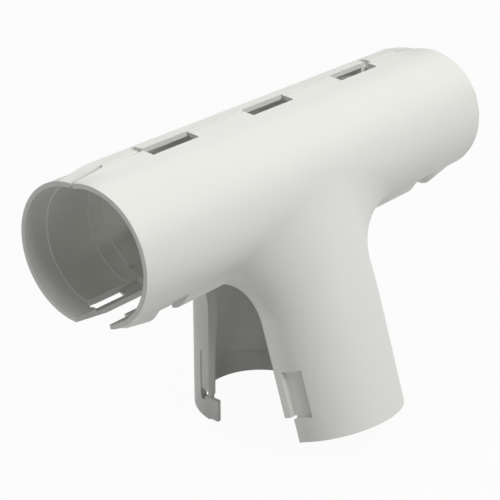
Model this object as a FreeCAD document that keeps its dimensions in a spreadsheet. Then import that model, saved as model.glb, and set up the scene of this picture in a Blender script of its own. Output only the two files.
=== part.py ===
import FreeCAD, Part
import Sketcher
import math
import os
from FreeCAD import Placement, Rotation, Vector

# Hinged conduit tee: two half shells that split on the plane of the run and the branch.
# The run lies along X, the branch points down -Z, and the front half faces -Y.
# The origin is where the axis of the run meets the axis of the branch.

doc = FreeCAD.newDocument("conduit_tee")
dims = doc.addObject("Spreadsheet::Sheet", "dims")


class Size:
    """A length that keeps its formula for the model beside its value in millimetres."""

    def __init__(self, formula, value):
        self.formula = formula
        self.value = value

    def __add__(self, other):
        other = as_size(other)
        return Size(f"({self.formula} + {other.formula})", self.value + other.value)

    def __sub__(self, other):
        other = as_size(other)
        return Size(f"({self.formula} - {other.formula})", self.value - other.value)

    def __mul__(self, other):
        other = as_size(other)
        return Size(f"({self.formula} * {other.formula})", self.value * other.value)

    def __truediv__(self, other):
        other = as_size(other)
        return Size(f"({self.formula} / {other.formula})", self.value / other.value)

    def __neg__(self):
        return Size(f"(0 - {self.formula})", -self.value)


def as_size(number):
    if isinstance(number, Size):
        return number
    return Size(f"({number})", float(number))


def size(alias, value, meaning):
    """Write one driving dimension in the sheet and give it back as a size."""
    row = size.row
    size.row += 1
    dims.set(f"A{row}", meaning)
    dims.set(f"B{row}", str(value))
    dims.setAlias(f"B{row}", alias)
    return Size(f"dims.{alias}", value)


size.row = 1

# Bore and wall of the three mouths
conduit_diameter = size("conduit_diameter", 32.0, "outside diameter of the conduit")
fit_clearance = size("fit_clearance", 0.1, "radial clearance of the conduit in a socket")
bore_step = size("bore_step", 0.5, "height of each of the three steps in a bore")
rim_wall = size("rim_wall", 1.2, "wall at the rim of a mouth")
mouth_depth = size("mouth_depth", 7.0, "depth of the widened mouth")
socket_depth = size("socket_depth", 20.5, "depth of the conduit stop from the mouth")
waist_depth = size("waist_depth", 25.4, "depth of the last step from the mouth")

# Outer form
half_run = size("half_run", 69.4, "from the branch axis to a mouth of the run")
branch_length = size("branch_length", 68.0, "from the run axis to the mouth of the branch")
branch_extra = size("branch_extra", 0.9, "how much the branch is larger in radius than the run")
root_inset = size("root_inset", 0.4, "how much the branch is smaller than the run at its root")
flare_drop = size("flare_drop", 38.0, "height over which the branch reaches its full radius")
front_spread = size("front_spread", 2.5, "how much wider the outer fillet is at the front than at the seams")

# Flared seams
ridge_rise = size("ridge_rise", 1.6, "rise of the hinge ridge over the run")
latch_rise = size("latch_rise", 1.3, "rise of the bottom seam over the run")
branch_rise = size("branch_rise", 1.2, "rise of the side seams over the branch")
ramp_length = size("ramp_length", 10.1, "length of the ramps from the mouths to the full ridge")
seam_wall = size("seam_wall", 1.3, "wall of the flared seams")
seam_depth = size("seam_depth", 7.1, "how far the flare reaches from the parting plane")
run_drop = size("run_drop", 3.1, "fall of the flare to the run over its depth")
branch_drop = size("branch_drop", 3.2, "fall of the flare to the branch over its depth")
seam_blend = size("seam_blend", 16.0, "radius of the seam in the corners under the run")
inner_blend = size("inner_blend", 19.0, "radius of the hollow seam in the same corners")
seam_gap = size("seam_gap", 0.3, "gap between the two closed halves")

# Hinge
bead_radius = size("bead_radius", 0.6, "radius of the hinge bead, level with the ridge")
hinge_gap = size("hinge_gap", 0.25, "gap round the hinge bead")
hinge_half = size("hinge_half", 45.4, "half the length of the hinge")
rib_width = size("rib_width", 3.4, "width of the flat rib on the rear half")
rib_foot = size("rib_foot", 1.2, "how much wider the rib is at its foot")
rib_height = size("rib_height", 3.4, "height of the rib from its foot inside the wall")
rib_round = size("rib_round", 0.8, "rounding of the rib's back edge")
rib_sink = size("rib_sink", 0.4, "depth of the rib under the surface of the run at the mouth")
window_length = size("window_length", 16.5, "length of a hinge window")
window_depth = size("window_depth", 3.8, "depth of a hinge window from the seam")
window_pitch = size("window_pitch", 37.4, "distance between hinge windows")
notch_length = size("notch_length", 1.8, "length of the notch at each end of the hinge")
notch_depth = size("notch_depth", 1.5, "depth of that notch")
notch_width = size("notch_width", 2.6, "reach of that notch over the rib")
shoulder_width = size("shoulder_width", 2.8, "width of the flat shoulder beside the hinge's end")
shoulder_fall = size("shoulder_fall", 0.15, "fall of the shoulder from the seam to its edge")
shoulder_sink = size("shoulder_sink", 0.15, "depth of the shoulder under the seam at the mouth")
end_width = size("end_width", 5.6, "width of the shoulder at the mouth")
end_fall = size("end_fall", 0.9, "fall of the shoulder at the mouth")
shoulder_foot = size("shoulder_foot", 9.5, "distance of the shoulder's foot from the seam")
shoulder_drop = size("shoulder_drop", 4.4, "height of the shoulder's foot under the ridge")
rest_opening = size("rest_opening", 17.7, "opening of the front half at rest, in degrees")

# Catches along the bottom of the run
catch_start = size("catch_start", 6.3, "distance of a catch window from the mouth")
catch_length = size("catch_length", 11.9, "length of a catch window")
catch_near = size("catch_near", 1.3, "near side of a catch window from the parting plane")
catch_far = size("catch_far", 3.5, "far side of a catch window from the parting plane")
recess_start = size("recess_start", 6.75, "distance of the recess inside a catch window from the mouth")
recess_length = size("recess_length", 17.75, "length of the recess that takes the tongue")
recess_gap = size("recess_gap", 0.25, "gap between the tongue's barb and the recess")
tongue_length = size("tongue_length", 10.4, "length of a catch tongue")
tongue_reach = size("tongue_reach", 1.9, "reach of a catch tongue over the parting plane")
tongue_root = size("tongue_root", 2.4, "width of a catch tongue's root in its own half")
tongue_wall = size("tongue_wall", 0.45, "thickness of a catch tongue")
barb_height = size("barb_height", 0.15, "height of the barb on a catch tongue")
barb_width = size("barb_width", 0.9, "width of the barb on a catch tongue")
swell_flat = size("swell_flat", 1.9, "reach of the flat of the swollen bottom seam")
swell_bend = size("swell_bend", 3.1, "reach of the bend beside that flat")
swell_bend_fall = size("swell_bend_fall", 0.45, "fall of the swollen seam to its bend")
swell_side = size("swell_side", 4.4, "reach of the upper side of the swollen seam")
swell_side_fall = size("swell_side_fall", 1.25, "fall of the swollen seam to its upper side")
swell_reach = size("swell_reach", 7.2, "full reach of the swollen seam from the parting plane")
swell_foot = size("swell_foot", 1.6, "depth of its foot inside the radius of the run")
swell_rise = size("swell_rise", 2.0, "rise of the swollen seam over the run")
pad_start = size("pad_start", 0.5, "distance from the mouth to the start of the swollen pad")
pad_ease = size("pad_ease", 2.9, "length over which the pad rises from the ramp")
pad_low = size("pad_low", 0.9, "rise of the pad over the run where it meets its slope")
pad_length = size("pad_length", 7.5, "length of the pad's slope")
pad_toe = size("pad_toe", 2.5, "length over which the pad falls away before the catch")
band_start = size("band_start", 20.75, "distance from the mouth to the swollen seam past the catch")

# Side seams of the branch
pocket_top = size("pocket_top", 19.6, "height of a pocket's top over the branch mouth")
pocket_height = size("pocket_height", 13.0, "height of a pocket")
pocket_near = size("pocket_near", 1.8, "near side of a pocket from the parting plane")
pocket_width = size("pocket_width", 5.4, "width of a pocket")
pocket_depth = size("pocket_depth", 1.1, "depth of a pocket in the front half")
recess_near = size("recess_near", 3.6, "near side of the rear recess from the parting plane")
recess_width = size("recess_width", 3.7, "width of the rear recess")
recess_depth = size("recess_depth", 0.25, "depth of the rear recess")
slot_height = size("slot_height", 3.0, "height of the slot at the foot of the rear recess")
slot_margin = size("slot_margin", 0.3, "margin between the slot and the sides of the recess")
edge_setback = size("edge_setback", 3.2, "how far the rear half's branch edges lie behind the parting plane")
lug_foot = size("lug_foot", 0.4, "height of the lug's foot over the branch mouth")
lug_height = size("lug_height", 6.3, "height of the locating lug at the branch mouth")
lug_root = size("lug_root", 1.5, "width of the lug's root in its own half")
lug_wall = size("lug_wall", 1.1, "thickness of the lug")
lug_inset = size("lug_inset", 1.4, "distance of the lug from the outside of the side seam")
seat_depth = size("seat_depth", 2.3, "depth of the front half's seat for the lug")
lug_gap = size("lug_gap", 0.5, "gap over the lug in the front half")

# Worked-out sizes
socket_radius = conduit_diameter / 2 + fit_clearance
mouth_radius = socket_radius + bore_step
outer_radius = mouth_radius + rim_wall
stop_radius = socket_radius - bore_step
waist_radius = stop_radius - bore_step
branch_radius = outer_radius + branch_extra
side_blend = outer_radius
front_blend = side_blend * front_spread
ridge_top = outer_radius + ridge_rise
latch_bottom = outer_radius + latch_rise
seam_side = branch_radius + branch_rise
rib_half = half_run - ramp_length
hinge_height = ridge_top - bead_radius
half_gap = seam_gap / 2
tongue_radius = mouth_radius + tongue_wall
barb_radius = tongue_radius + barb_height
recess_radius = barb_radius + recess_gap
# Anything this long passes right through the part
beyond = half_run + branch_length

ALONG_X = Rotation(Vector(0, 1, 0), 90)
DOWN = Rotation(Vector(1, 0, 0), 180)
# A flat drawing stood up on the XZ plane: its own up becomes Z, its normal points to the front
UPRIGHT = Rotation(Vector(1, 0, 0), 90)
# A flat drawing across the run: its right becomes Y and its up becomes Z
ACROSS = Rotation(Vector(1, 1, 1), 120)


def bind(thing, **sizes):
    for name, length in sizes.items():
        thing.setExpression(name, as_size(length).formula)
    return thing


def place(thing, x=0, y=0, z=0, rotation=Rotation()):
    thing.Placement = Placement(Vector(0, 0, 0), rotation)
    for axis, length in (("x", x), ("y", y), ("z", z)):
        thing.setExpression(f"Placement.Base.{axis}", as_size(length).formula)
    return thing


def box(name, x_range, y_range, z_range):
    low, high = zip(x_range, y_range, z_range)
    block = bind(
        doc.addObject("Part::Box", name),
        Length=as_size(high[0]) - low[0],
        Width=as_size(high[1]) - low[1],
        Height=as_size(high[2]) - low[2],
    )
    return place(block, *low)


def rod(name, radius, start, end, z=0):
    """A round bar along X from start to end."""
    bar = bind(doc.addObject("Part::Cylinder", name), Radius=radius, Height=as_size(end) - start)
    return place(bar, x=start, z=z, rotation=ALONG_X)


def plug(name, radius, top, bottom):
    """A round bar down the branch axis between two depths under the run axis."""
    bar = bind(doc.addObject("Part::Cylinder", name), Radius=radius, Height=as_size(bottom) - top)
    return place(bar, z=-as_size(top), rotation=DOWN)


def fuse(name, *pieces):
    union = doc.addObject("Part::MultiFuse", name)
    union.Shapes = list(pieces)
    return union


def common(name, *pieces):
    overlap = doc.addObject("Part::MultiCommon", name)
    overlap.Shapes = list(pieces)
    return overlap


def cut(name, base, tool):
    remainder = doc.addObject("Part::Cut", name)
    remainder.Base = base
    remainder.Tool = tool
    return remainder


def mirror(name, source, normal):
    copy = doc.addObject("Part::Mirroring", name)
    copy.Source = source
    copy.Normal = normal
    return copy


def both_ends(piece):
    """The piece with its mirror image at the other end of the run."""
    return [piece, mirror(f"{piece.Name}_mirror", piece, Vector(1, 0, 0))]


def closed_sketch(name, corners, rotation, arcs=(), radius=None, **position):
    """A closed outline through the corners, where the sides named in arcs are round."""
    sketch = place(doc.addObject("Sketcher::SketchObject", name), rotation=rotation, **position)
    count = len(corners)
    points = [Vector(across.value, up.value, 0) for across, up in corners]
    for number in range(count):
        start = points[number]
        end = points[(number + 1) % count]
        if number in arcs:
            centre = Vector(*arcs[number])
            middle = centre + (start + end - centre * 2).normalize() * radius.value
            sketch.addGeometry(Part.Arc(start, middle, end))
            hold(sketch, Sketcher.Constraint("Radius", number, radius.value), radius)
        else:
            sketch.addGeometry(Part.LineSegment(start, end))
    for number, (across, up) in enumerate(corners):
        before = (number - 1) % count
        sketch.addConstraint(Sketcher.Constraint("Coincident", before, 2, number, 1))
        hold(sketch, Sketcher.Constraint("DistanceX", -1, 1, number, 1, across.value), across)
        hold(sketch, Sketcher.Constraint("DistanceY", -1, 1, number, 1, up.value), up)
    return sketch


def hold(sketch, constraint, length):
    """Add one dimension to a sketch and tie it to its size."""
    number = sketch.addConstraint(constraint)
    sketch.setExpression(f"Constraints[{number}]", length.formula)


def loft(name, sections):
    body = doc.addObject("Part::Loft", name)
    body.Sections = sections
    body.Solid = True
    body.Ruled = True
    return body


def blended_tee(name, run_radius, side_radius, seam_fillet, front_fillet):
    """Run and branch as one solid, with a fillet that widens from the seams to the middle."""
    run = rod(f"{name}_run", run_radius, -half_run, half_run)
    flare = bind(
        doc.addObject("Part::Cone", f"{name}_cone"),
        Radius1=run_radius - root_inset,
        Radius2=side_radius,
        Height=flare_drop,
    )
    place(flare, rotation=DOWN)
    leg = plug(f"{name}_leg", side_radius, flare_drop, branch_length)
    joined = fuse(f"{name}_joined", run, flare, leg)
    joined.Refine = True
    quarter_space = box(f"{name}_quarter_space", (0, beyond), (-beyond, 0), (-beyond, beyond))
    quarter = common(f"{name}_quarter", joined, quarter_space)
    doc.recompute()
    # The joint is the one freely curved edge with both ends on the run
    joint = [
        (number, edge)
        for number, edge in enumerate(quarter.Shape.Edges, 1)
        if edge.Curve.TypeId == "Part::GeomBSplineCurve"
        and all(math.hypot(end.Y, end.Z) < run_radius.value + 0.01 for end in edge.Vertexes)
    ]
    blended = doc.addObject("Part::Fillet", f"{name}_blended")
    blended.Base = quarter
    blended.Edges = [
        (number, front_fillet.value, seam_fillet.value)
        if edge.valueAt(edge.FirstParameter).x < edge.valueAt(edge.LastParameter).x
        else (number, seam_fillet.value, front_fillet.value)
        for number, edge in joint
    ]
    half = fuse(f"{name}_half", *both_ends(blended))
    half.Refine = True
    tee = fuse(f"{name}_tee", half, mirror(f"{name}_back", half, Vector(0, 1, 0)))
    tee.Refine = True
    return tee


def tee_outline(name, depth, top, bottom, side, radius, mouth):
    """A tee outline parallel to the parting plane, with ramps down to the radius of a mouth."""
    past = half_run + ramp_length
    ramp_top = mouth * 2 - top
    ramp_bottom = mouth * 2 - bottom
    foot = branch_length + ramp_length
    corner = bottom + radius
    right = [
        (rib_half, top),
        (past, ramp_top),
        (past, -ramp_bottom),
        (rib_half, -bottom),
        (side + radius, -bottom),
        (side, -corner),
        (side, -foot),
    ]
    left = [(-across, up) for across, up in reversed(right)]
    centre = (side.value + radius.value, -corner.value)
    arcs = {4: centre, 8: (-centre[0], centre[1])}
    return closed_sketch(name, right + left, UPRIGHT, arcs, radius, y=depth)


def seam_flare(name, inset, side, radius):
    """A flare that both halves share along their seams, seen from the parting plane inwards."""
    rim = tee_outline(
        f"{name}_rim",
        as_size(0),
        ridge_top - inset,
        latch_bottom - inset,
        side,
        radius,
        outer_radius - inset,
    )
    back = tee_outline(
        f"{name}_back",
        -seam_depth,
        ridge_top - inset - run_drop,
        latch_bottom - inset - run_drop,
        side - branch_drop,
        radius,
        outer_radius - inset - run_drop,
    )
    front = loft(f"{name}_front", [rim, back])
    return [front, mirror(f"{name}_rear", front, Vector(0, 1, 0))]


def bores():
    """The stepped bore of all three mouths."""
    steps = []
    for step, radius, depth in (
        ("mouth", mouth_radius, mouth_depth),
        ("socket", socket_radius, socket_depth),
        ("stop", stop_radius, waist_depth),
    ):
        steps += both_ends(rod(f"run_{step}", radius, half_run - depth, beyond))
        steps.append(plug(f"branch_{step}", radius, branch_length - depth, beyond))
    return steps


def hinge_rib():
    """The flat rib of the rear half, behind the seam, with its ramps to the mouths."""
    ramp_run = ramp_length / (ridge_rise + rib_sink)
    rib = bind(
        doc.addObject("Part::Wedge", "rib_blank"),
        Xmin=-(rib_half + ramp_run * rib_height),
        Xmax=rib_half + ramp_run * rib_height,
        X2min=-rib_half,
        X2max=rib_half,
        Ymin=0,
        Ymax=rib_height,
        Zmin=-(rib_width + rib_foot),
        Zmax=0,
        Z2min=-rib_width,
        Z2max=0,
    )
    place(rib, z=ridge_top - rib_height, rotation=UPRIGHT)
    doc.recompute()
    back_edge = [
        number
        for number, edge in enumerate(rib.Shape.Edges, 1)
        if all(
            abs(vertex.Y - rib_width.value) < 0.001 and abs(vertex.Z - ridge_top.value) < 0.001
            for vertex in edge.Vertexes
        )
    ]
    rounded = doc.addObject("Part::Fillet", "rib")
    rounded.Base = rib
    rounded.Edges = [(number, rib_round.value, rib_round.value) for number in back_edge]
    return rounded


def shoulder():
    """The flat on the front half that starts at the hinge's end and widens to the mouth."""
    foot = ridge_top - shoulder_drop
    stations = (
        ("inner", hinge_half, ridge_top, shoulder_fall, shoulder_fall, seam_depth),
        ("middle", rib_half, ridge_top, shoulder_width, shoulder_fall, shoulder_foot),
        ("outer", half_run, outer_radius - shoulder_sink, end_width, end_fall, shoulder_foot),
    )
    sections = []
    for station, x, seam, width, fall, foot_reach in stations:
        corners = [(as_size(0), seam), (-width, seam - fall), (-foot_reach, foot), (as_size(0), foot)]
        sections.append(closed_sketch(f"shoulder_{station}", corners, ACROSS, x=x))
    return loft("shoulder", sections)


def hinge_windows():
    """The three windows in the front half through which the rear rib shows."""
    half_window = window_length / 2
    middle_window = box("middle_window", (-half_window, half_window), (-window_depth, 0), (0, beyond))
    side_window = box(
        "side_window",
        (window_pitch - half_window, window_pitch + half_window),
        (-window_depth, 0),
        (0, beyond),
    )
    return [middle_window, *both_ends(side_window)]


def ring_sector(name, inner, outer, start, end, y_range):
    """The part of a ring round the run axis that lies under it, between two planes."""
    ring = cut(f"{name}_ring", rod(f"{name}_outer", outer, start, end), rod(f"{name}_inner", inner, start, end))
    return common(name, ring, box(f"{name}_reach", (start, end), y_range, (-beyond, 0)))


def catch_tongue():
    """The springy tongue of the front half, drawn pressed in, as it slides into its recess."""
    end = half_run - catch_start - (catch_length - tongue_length) / 2
    start = end - tongue_length
    blade = ring_sector(
        "tongue_blade", mouth_radius, tongue_radius, start, end, (-tongue_root, tongue_reach)
    )
    barb = ring_sector(
        "tongue_barb", mouth_radius, barb_radius, start, end, (tongue_reach - barb_width, tongue_reach)
    )
    root = ring_sector(
        "tongue_foot", socket_radius, latch_bottom - seam_wall / 2, start, end, (-tongue_root, -half_gap)
    )
    return [blade, barb, root]


def swelling(name, stations):
    """A round-backed swelling of the front half's bottom seam through its rises over the run."""
    sections = []
    for number, (x, rise) in enumerate(stations, 1):
        depth = outer_radius + rise
        foot = outer_radius - swell_foot
        corners = [
            (-half_gap, -depth),
            (-swell_flat, -depth),
            (-swell_bend, swell_bend_fall - depth),
            (-swell_side, swell_side_fall - depth),
            (-swell_reach, -foot),
            (-swell_reach, rim_wall - foot),
            (-half_gap, rim_wall - outer_radius),
        ]
        sections.append(closed_sketch(f"{name}_{number}", corners, ACROSS, x=x))
    return loft(name, sections)


def catch_swellings():
    """The pad on the ramp before each catch and the full swelling past it, up to the branch."""
    start = half_run - pad_start
    crest = start - pad_ease - pad_length
    pad = swelling(
        "catch_pad",
        [
            (start, -half_gap),
            (start - pad_ease, pad_low),
            (crest, swell_rise),
            (crest - pad_toe, swell_foot / 4),
        ],
    )
    band_end = half_run - band_start
    band = swelling("catch_band", [(band_end, swell_rise), (seam_side + seam_wall, swell_rise)])
    return [*both_ends(pad), *both_ends(band)]


def side_pocket(name, near, width, top, height, depth):
    """A shallow pocket in the outer side of the branch, with a floor round the branch axis."""
    block = box(
        f"{name}_block",
        (waist_radius / 2, beyond),
        (near, near + width),
        (top - height - branch_length, top - branch_length),
    )
    floor = plug(f"{name}_floor", branch_radius - depth, 0, beyond)
    return cut(name, block, floor)


front_near = -(pocket_near + pocket_width)
lug_top = lug_foot + lug_height

# The closed shell, both halves in one
core_wall = outer_radius - waist_radius
hollow_blend = side_blend + core_wall
outer_tee = blended_tee("outer", outer_radius, branch_radius, side_blend, front_blend)
inner_tee = blended_tee("inner", waist_radius, waist_radius, hollow_blend, hollow_blend)
outer_flare = seam_flare("outer_flare", as_size(0), seam_side, seam_blend)
flare_space = box(
    "flare_space",
    (waist_depth - half_run, half_run - waist_depth),
    (-beyond, beyond),
    (waist_depth - branch_length, beyond),
)
inner_flare = [
    common(f"inner_flare_{number}", flare, flare_space)
    for number, flare in enumerate(seam_flare("inner_flare", seam_wall, socket_radius, inner_blend), 1)
]
solid_tee = fuse(
    "solid_tee", outer_tee, *outer_flare, hinge_rib(), *both_ends(shoulder()), *catch_swellings()
)
hollow = fuse("hollow", inner_tee, *inner_flare, *bores())
shell = cut("shell", solid_tee, hollow)

# Front half: hinge windows and groove, catch tongues, pockets and the clearance for the lugs
front_side = box("front_side", (-half_run, half_run), (-beyond, -half_gap), (-branch_length, beyond))
front_blank = fuse(
    "front_blank",
    common("front_half", shell, front_side),
    *[end for piece in catch_tongue() for end in both_ends(piece)],
)
hinge_groove = rod("hinge_groove", bead_radius + hinge_gap, -beyond, beyond, z=hinge_height)
lug_seat = box(
    "lug_seat",
    (waist_radius / 2, beyond),
    (-seat_depth, 0),
    (-beyond, lug_top + lug_gap - branch_length),
)
front_pocket = side_pocket("front_pocket", front_near, pocket_width, pocket_top, pocket_height, pocket_depth)
front_cuts = fuse(
    "front_cuts", hinge_groove, *hinge_windows(), *both_ends(lug_seat), *both_ends(front_pocket)
)
front_shell = cut("front_shell", front_blank, front_cuts)

# Rear half: hinge beads, catch windows with their recesses, branch edges set back, and lugs
rear_side = box("rear_side", (-half_run, half_run), (half_gap, beyond), (-branch_length, beyond))
edge_cut = box(
    "edge_cut",
    (-(seam_side + seam_blend), seam_side + seam_blend),
    (0, edge_setback),
    (-beyond, -waist_radius / 2),
)
lug = box(
    "lug",
    (seam_side - lug_inset - lug_wall, seam_side - lug_inset),
    (0, edge_setback + lug_root),
    (lug_foot - branch_length, lug_top - branch_length),
)
hinge_bead = rod(
    "hinge_bead", bead_radius, window_length / 2, window_pitch - window_length / 2, z=hinge_height
)
end_bead = rod("end_bead", bead_radius, hinge_half + notch_length, rib_half, z=hinge_height)
catch_window = box(
    "catch_window",
    (half_run - catch_start - catch_length, half_run - catch_start),
    (catch_near, catch_far),
    (-beyond, -waist_radius / 2),
)
recess_end = half_run - recess_start
tongue_recess = ring_sector(
    "tongue_recess", waist_radius, recess_radius, recess_end - recess_length, recess_end, (0, catch_far)
)
rear_recess = side_pocket(
    "rear_recess", recess_near, recess_width, pocket_top, pocket_height, recess_depth
)
rear_slot = box(
    "rear_slot",
    (waist_radius / 2, beyond),
    (recess_near + slot_margin, recess_near + recess_width - slot_margin),
    (pocket_top - pocket_height - slot_height / 2 - branch_length,
     pocket_top - pocket_height + slot_height / 2 - branch_length),
)
notch = box(
    "notch",
    (hinge_half, hinge_half + notch_length),
    (-half_gap, notch_width),
    (ridge_top - notch_depth, beyond),
)
rear_blank = cut(
    "rear_blank",
    common("rear_half", shell, rear_side),
    fuse(
        "rear_cuts",
        edge_cut,
        *[
            end
            for piece in (catch_window, tongue_recess, rear_recess, rear_slot, notch)
            for end in both_ends(piece)
        ],
    ),
)
rear_shell = fuse("rear_shell", rear_blank, *both_ends(hinge_bead), *both_ends(end_bead), *both_ends(lug))

front_shell.Label = "front_shell"
rear_shell.Label = "rear_shell"

# The front half stands open at rest, turned about the hinge axis
front_shell.Placement = Placement(Vector(0, 0, 0), Rotation(Vector(-1, 0, 0), rest_opening.value))
front_shell.setExpression("Placement.Rotation.Angle", f"{rest_opening.formula} * 1 deg")
front_shell.setExpression(
    "Placement.Base.y", f"0 - {hinge_height.formula} * sin({rest_opening.formula} * 1 deg)"
)
front_shell.setExpression(
    "Placement.Base.z", f"{hinge_height.formula} * (1 - cos({rest_opening.formula} * 1 deg))"
)

doc.recompute()
failed = [thing.Name for thing in doc.Objects if "Invalid" in thing.State or "Error" in thing.State]
if failed:
    raise RuntimeError(f"could not be built: {failed}")
for half in (front_shell, rear_shell):
    if half.Shape.isNull() or not half.Shape.isValid() or len(half.Shape.Solids) != 1:
        raise RuntimeError(f"{half.Label} is not one sound solid")

os.makedirs("parts", exist_ok=True)
for half in (front_shell, rear_shell):
    half.Shape.exportStep(f"parts/{half.Label}.step")
    print(f"{half.Label}: {half.Shape.Volume:.0f} mm3")
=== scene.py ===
# %% [markdown]
# # A hinged conduit tee in satin white plastic
#
# A conduit tee joins three lengths of electrical conduit. This one opens like a book: its front
# half turns on its rear half about a hinge along the top, and catches along the bottom hold the
# two closed.
#
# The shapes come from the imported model, because every wall, window and catch has a real size there.
# This script gives them their looks: smooth moulded faces with small rounded edges, the plastic
# itself, a pale floor, soft light and the camera. Lengths are in metres, apart from the camera's
# lens, and azimuths and elevations are in degrees.

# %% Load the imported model
import math
import bpy
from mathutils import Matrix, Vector


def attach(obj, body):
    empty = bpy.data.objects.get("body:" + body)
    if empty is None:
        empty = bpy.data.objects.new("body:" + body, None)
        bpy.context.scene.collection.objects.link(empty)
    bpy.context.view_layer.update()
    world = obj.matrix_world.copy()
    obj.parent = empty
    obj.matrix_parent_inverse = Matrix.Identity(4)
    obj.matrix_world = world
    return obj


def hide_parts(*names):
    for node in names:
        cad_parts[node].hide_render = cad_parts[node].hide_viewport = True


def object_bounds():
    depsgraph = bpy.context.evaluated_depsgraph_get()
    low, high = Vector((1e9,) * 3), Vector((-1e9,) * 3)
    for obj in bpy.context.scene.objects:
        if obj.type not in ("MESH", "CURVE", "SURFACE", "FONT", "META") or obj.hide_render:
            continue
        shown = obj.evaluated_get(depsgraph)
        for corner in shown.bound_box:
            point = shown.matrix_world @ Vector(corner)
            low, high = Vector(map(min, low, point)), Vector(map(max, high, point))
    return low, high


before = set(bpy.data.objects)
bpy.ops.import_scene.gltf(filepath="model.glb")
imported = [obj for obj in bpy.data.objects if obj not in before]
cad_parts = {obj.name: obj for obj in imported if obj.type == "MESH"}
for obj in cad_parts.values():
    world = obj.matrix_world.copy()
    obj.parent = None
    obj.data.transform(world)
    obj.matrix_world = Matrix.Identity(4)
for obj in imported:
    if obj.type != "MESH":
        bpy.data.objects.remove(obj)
cad_low, cad_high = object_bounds()
bpy.ops.object.select_all(action="DESELECT")

# %% [markdown]
# ## Smooth faces
#
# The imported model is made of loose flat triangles, while the real walls are smooth curves that meet
# at crisp lines. Subdividing would round those lines as well, and a remesh coarse enough to be quick
# would break the thin walls. So a copy of each shell has its points merged, and its faces are shaded
# smooth wherever neighbours meet at a small angle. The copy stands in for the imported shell, which
# stays unseen, and rides on the same body, so it opens and closes with it.

# %% Copy, merge and smooth the shells
MERGE_DISTANCE = 0.00002
CREASE_ANGLE = math.radians(28)


def moulded_copy(node, body):
    """A merged and smooth-shaded copy of a packed shell that stands in for it."""
    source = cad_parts[node]
    piece = source.copy()
    piece.data = source.data.copy()
    piece.name = node.replace("_shell", "_half")
    piece.parent = None
    for key in [key for key in piece.keys() if key.startswith("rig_")]:
        del piece[key]
    bpy.context.scene.collection.objects.link(piece)
    bpy.ops.object.select_all(action="DESELECT")
    piece.select_set(True)
    bpy.context.view_layer.objects.active = piece
    bpy.ops.object.mode_set(mode="EDIT")
    bpy.ops.mesh.select_all(action="SELECT")
    bpy.ops.mesh.remove_doubles(threshold=MERGE_DISTANCE)
    bpy.ops.object.mode_set(mode="OBJECT")
    if piece.data.has_custom_normals:
        bpy.ops.mesh.customdata_custom_splitnormals_clear()
    bpy.ops.object.shade_smooth_by_angle(angle=CREASE_ANGLE)
    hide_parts(node)
    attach(piece, body)
    print(piece.name, len(piece.data.vertices), "points", len(piece.data.polygons), "faces")
    return piece


rear_half = moulded_copy("rear_shell", "rear")
front_half = moulded_copy("front_shell", "front")

# %% [markdown]
# ## Satin white plastic
#
# The shells are injection moulded in a hard white plastic. Its colour is a slightly warm off-white.
# Such moulds are often spark-eroded, which leaves a very fine, even grain: it shows as soft, broad
# highlights rather than as bumps. A little colour variation, as of uneven cooling, keeps large
# faces from looking like paper.
#
# The grain is far finer than the mesh, so noise in the material makes it and no face is moved. The
# edges are rounded in the shading too, because a bevel cut into long, thin triangles can fold over
# itself. All patterns use Object coordinates, so they sit on the part.

# %% Make the plastic
PLASTIC = (0.80, 0.81, 0.765, 1.0)
PLASTIC_SHADE = (0.765, 0.774, 0.731, 1.0)
PLASTIC_IOR = 1.49
PLASTIC_SPECULAR = 0.45
SMOOTHEST = 0.36
ROUGHEST = 0.46
GRAIN_STRENGTH = 0.12
GRAIN_HEIGHT = 0.00003
EDGE_RADIUS = 0.00025


def node_at(tree, kind, **inputs):
    """Add one shader node and set its inputs by name."""
    added = tree.nodes.new(kind)
    for name, value in inputs.items():
        added.inputs[name].default_value = value
    return added


def noise_on(tree, place, scale, detail, roughness):
    """Noise that sits on the part; the scale is in patches per metre."""
    noise = node_at(tree, "ShaderNodeTexNoise", Scale=scale, Detail=detail, Roughness=roughness)
    tree.links.new(place.outputs["Object"], noise.inputs["Vector"])
    return noise


def moulded_plastic():
    """Off-white plastic with faint flow tints, uneven gloss, a fine grain and rounded edges."""
    material = bpy.data.materials.new("satin_plastic")
    material.use_nodes = True
    tree = material.node_tree
    shader = tree.nodes["Principled BSDF"]
    shader.inputs["IOR"].default_value = PLASTIC_IOR
    shader.inputs["Specular IOR Level"].default_value = PLASTIC_SPECULAR
    place = tree.nodes.new("ShaderNodeTexCoord")

    flow = noise_on(tree, place, scale=22.0, detail=3.0, roughness=0.5)
    tint = tree.nodes.new("ShaderNodeMix")
    tint.data_type = "RGBA"
    tint.inputs["A"].default_value = PLASTIC_SHADE
    tint.inputs["B"].default_value = PLASTIC
    tree.links.new(flow.outputs["Fac"], tint.inputs["Factor"])
    tree.links.new(tint.outputs["Result"], shader.inputs["Base Color"])

    patches = noise_on(tree, place, scale=55.0, detail=4.0, roughness=0.55)
    rough = tree.nodes.new("ShaderNodeMapRange")
    rough.inputs["To Min"].default_value = SMOOTHEST
    rough.inputs["To Max"].default_value = ROUGHEST
    tree.links.new(patches.outputs["Fac"], rough.inputs["Value"])
    tree.links.new(rough.outputs["Result"], shader.inputs["Roughness"])

    grain = noise_on(tree, place, scale=2600.0, detail=2.0, roughness=0.6)
    bump = node_at(tree, "ShaderNodeBump", Strength=GRAIN_STRENGTH, Distance=GRAIN_HEIGHT)
    edge = node_at(tree, "ShaderNodeBevel", Radius=EDGE_RADIUS)
    tree.links.new(grain.outputs["Fac"], bump.inputs["Height"])
    tree.links.new(edge.outputs["Normal"], bump.inputs["Normal"])
    tree.links.new(bump.outputs["Normal"], shader.inputs["Normal"])
    return material


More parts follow.
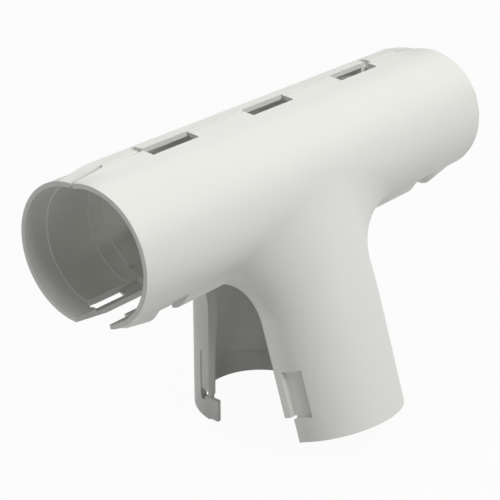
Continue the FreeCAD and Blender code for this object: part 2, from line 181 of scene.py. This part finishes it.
plastic = moulded_plastic()
for piece in (rear_half, front_half):
    piece.data.materials.clear()
    piece.data.materials.append(plastic)
    print(piece.name, "is made of", plastic.name)

# %% [markdown]
# ## Floor
#
# The part is photographed on white. The floor is nearly white to the camera and in reflections,
# and nowhere else. Its own colour is a middle grey, because a white floor would fill the shade
# under the run with bounced light. A little of the grey stays in view and takes the part's shadow.

# %% Make the floor
FLOOR_SIZE = 6.0
FLOOR_GAP = 0.0005
FLOOR_GREY = (0.5, 0.5, 0.5, 1)
FLOOR_ROUGHNESS = 0.8
WHITE = (1, 1, 1, 1)
WHITE_SHARE = 0.95

floor_height = cad_low.z - FLOOR_GAP
bpy.ops.mesh.primitive_plane_add(size=FLOOR_SIZE, location=(0, 0, floor_height))
floor = bpy.context.object
floor.name = "floor"
bpy.ops.object.transform_apply(location=True, rotation=True, scale=True)


def white_behind(material, amount):
    """Blend in plain white where the camera sees the material, also mirrored or through glass."""
    tree = material.node_tree
    shader = tree.nodes["Principled BSDF"]
    output = tree.nodes["Material Output"]
    white = node_at(tree, "ShaderNodeEmission", Color=WHITE, Strength=1.0)
    path = tree.nodes.new("ShaderNodeLightPath")
    seen = path.outputs["Is Camera Ray"]
    for other in ("Is Glossy Ray", "Is Transmission Ray"):
        either = tree.nodes.new("ShaderNodeMath")
        either.operation = "MAXIMUM"
        tree.links.new(seen, either.inputs[0])
        tree.links.new(path.outputs[other], either.inputs[1])
        seen = either.outputs[0]
    share = tree.nodes.new("ShaderNodeMath")
    share.operation = "MULTIPLY"
    share.inputs[1].default_value = amount
    tree.links.new(seen, share.inputs[0])
    blend = tree.nodes.new("ShaderNodeMixShader")
    tree.links.new(share.outputs[0], blend.inputs[0])
    tree.links.new(shader.outputs["BSDF"], blend.inputs[1])
    tree.links.new(white.outputs["Emission"], blend.inputs[2])
    tree.links.new(blend.outputs["Shader"], output.inputs["Surface"])


def pale_finish():
    """A grey that the camera sees as nearly white."""
    material = bpy.data.materials.new("pale_floor")
    material.use_nodes = True
    shader = material.node_tree.nodes["Principled BSDF"]
    shader.inputs["Base Color"].default_value = FLOOR_GREY
    shader.inputs["Roughness"].default_value = FLOOR_ROUGHNESS
    white_behind(material, WHITE_SHARE)
    return material


floor.data.materials.append(pale_finish())
print("floor at", round(floor_height, 4))

# %% [markdown]
# ## Light
#
# In the photograph the top is the brightest, the front is a little darker, and what faces down or
# to the left falls off into a soft grey. So the light is a wide panel above and a smaller one in
# front. A weak one behind keeps the back readable, and one level with the run, to its left, draws
# the ledges inside its open mouth as pale lines. The world is white to the camera and dim to the
# part.
#
# Each lamp is given by where it stands, seen from the part, and by its level: how bright a white
# matt surface that faces it looks. No face turns to all of them. The faces that look up and to the
# front get roughly 0.8 to 1 in all, so the plastic looks nearly as light as it is written.

# %% Make the world and the lamps
WORLD_LEVEL = 0.11
LAMPS = {
    "top_light": {"azimuth": 0, "elevation": 90, "distance": 0.9, "size": 0.75, "level": 0.42},
    "front_light": {"azimuth": 7.5, "elevation": 44, "distance": 0.64, "size": 0.4, "level": 0.69},
    "back_light": {"azimuth": 150, "elevation": 50, "distance": 0.6, "size": 0.5, "level": 0.2},
    "left_light": {"azimuth": -90, "elevation": 5, "distance": 0.5, "size": 0.2, "level": 0.09},
}


def white_world():
    """A world that is plain white to the camera and a weak, even light to everything else."""
    world = bpy.data.worlds.new("studio")
    bpy.context.scene.world = world
    world.use_nodes = True
    tree = world.node_tree
    dim = tree.nodes["Background"]
    dim.inputs["Color"].default_value = WHITE
    dim.inputs["Strength"].default_value = WORLD_LEVEL
    bright = node_at(tree, "ShaderNodeBackground", Color=WHITE, Strength=1.0)
    path = tree.nodes.new("ShaderNodeLightPath")
    blend = tree.nodes.new("ShaderNodeMixShader")
    tree.links.new(path.outputs["Is Camera Ray"], blend.inputs[0])
    tree.links.new(dim.outputs["Background"], blend.inputs[1])
    tree.links.new(bright.outputs["Background"], blend.inputs[2])
    tree.links.new(blend.outputs["Shader"], tree.nodes["World Output"].inputs["Surface"])


def toward(azimuth, elevation):
    """The direction from the part to a place around it. Azimuth 0 is in front, 90 to the right."""
    turn = math.radians(azimuth)
    rise = math.radians(elevation)
    return Vector((
        math.sin(turn) * math.cos(rise),
        -math.cos(turn) * math.cos(rise),
        math.sin(rise),
    ))


def soft_lamp(name, azimuth, elevation, distance, size, level):
    """A square panel of light that looks at the middle of the run."""
    away = toward(azimuth, elevation)
    bpy.ops.object.light_add(type="AREA", location=away * distance)
    lamp = bpy.context.object
    lamp.name = name
    lamp.data.shape = "SQUARE"
    lamp.data.size = size
    lamp.data.energy = level * (math.pi * distance) ** 2
    lamp.rotation_euler = (-away).to_track_quat("-Z", "Y").to_euler()
    print(name, round(lamp.data.energy, 2), "watts")


white_world()
for name, setting in LAMPS.items():
    soft_lamp(name, **setting)

# %% [markdown]
# ## Camera
#
# The photograph looks down on the tee from the front left. Its upright edges stay parallel, as a
# view camera draws them, which an ordinary camera can't do without a large shift. This one has no
# shift. It stands between the place that fits the part's outline best and the one that fits all
# its points best, so the ridge comes out a little low and the feet a little high.

# %% Place the camera
AZIMUTH = -50.3
ELEVATION = 23.9
DISTANCE = 0.423
ASIDE = -0.0031
RAISED = -0.0206
SENSOR_MILLIMETRES = 36
LENS_IN_SENSORS = 3.2
NEAREST_SEEN = 0.01
FARTHEST_SEEN = 20

away = toward(AZIMUTH, ELEVATION)
right = Vector((-away.y, away.x, 0)).normalized()
up = away.cross(right)
bpy.ops.object.camera_add(location=away * DISTANCE + right * ASIDE + up * RAISED)
camera = bpy.context.object
camera.rotation_mode = "QUATERNION"
camera.rotation_quaternion = (-away).to_track_quat("-Z", "Y")
camera.data.sensor_width = SENSOR_MILLIMETRES
camera.data.lens = SENSOR_MILLIMETRES * LENS_IN_SENSORS
camera.data.clip_start = NEAREST_SEEN
camera.data.clip_end = FARTHEST_SEEN
bpy.context.scene.camera = camera
bpy.context.scene.view_settings.view_transform = "Standard"
print("camera", [round(value, 4) for value in camera.location], "lens", round(camera.data.lens, 1))
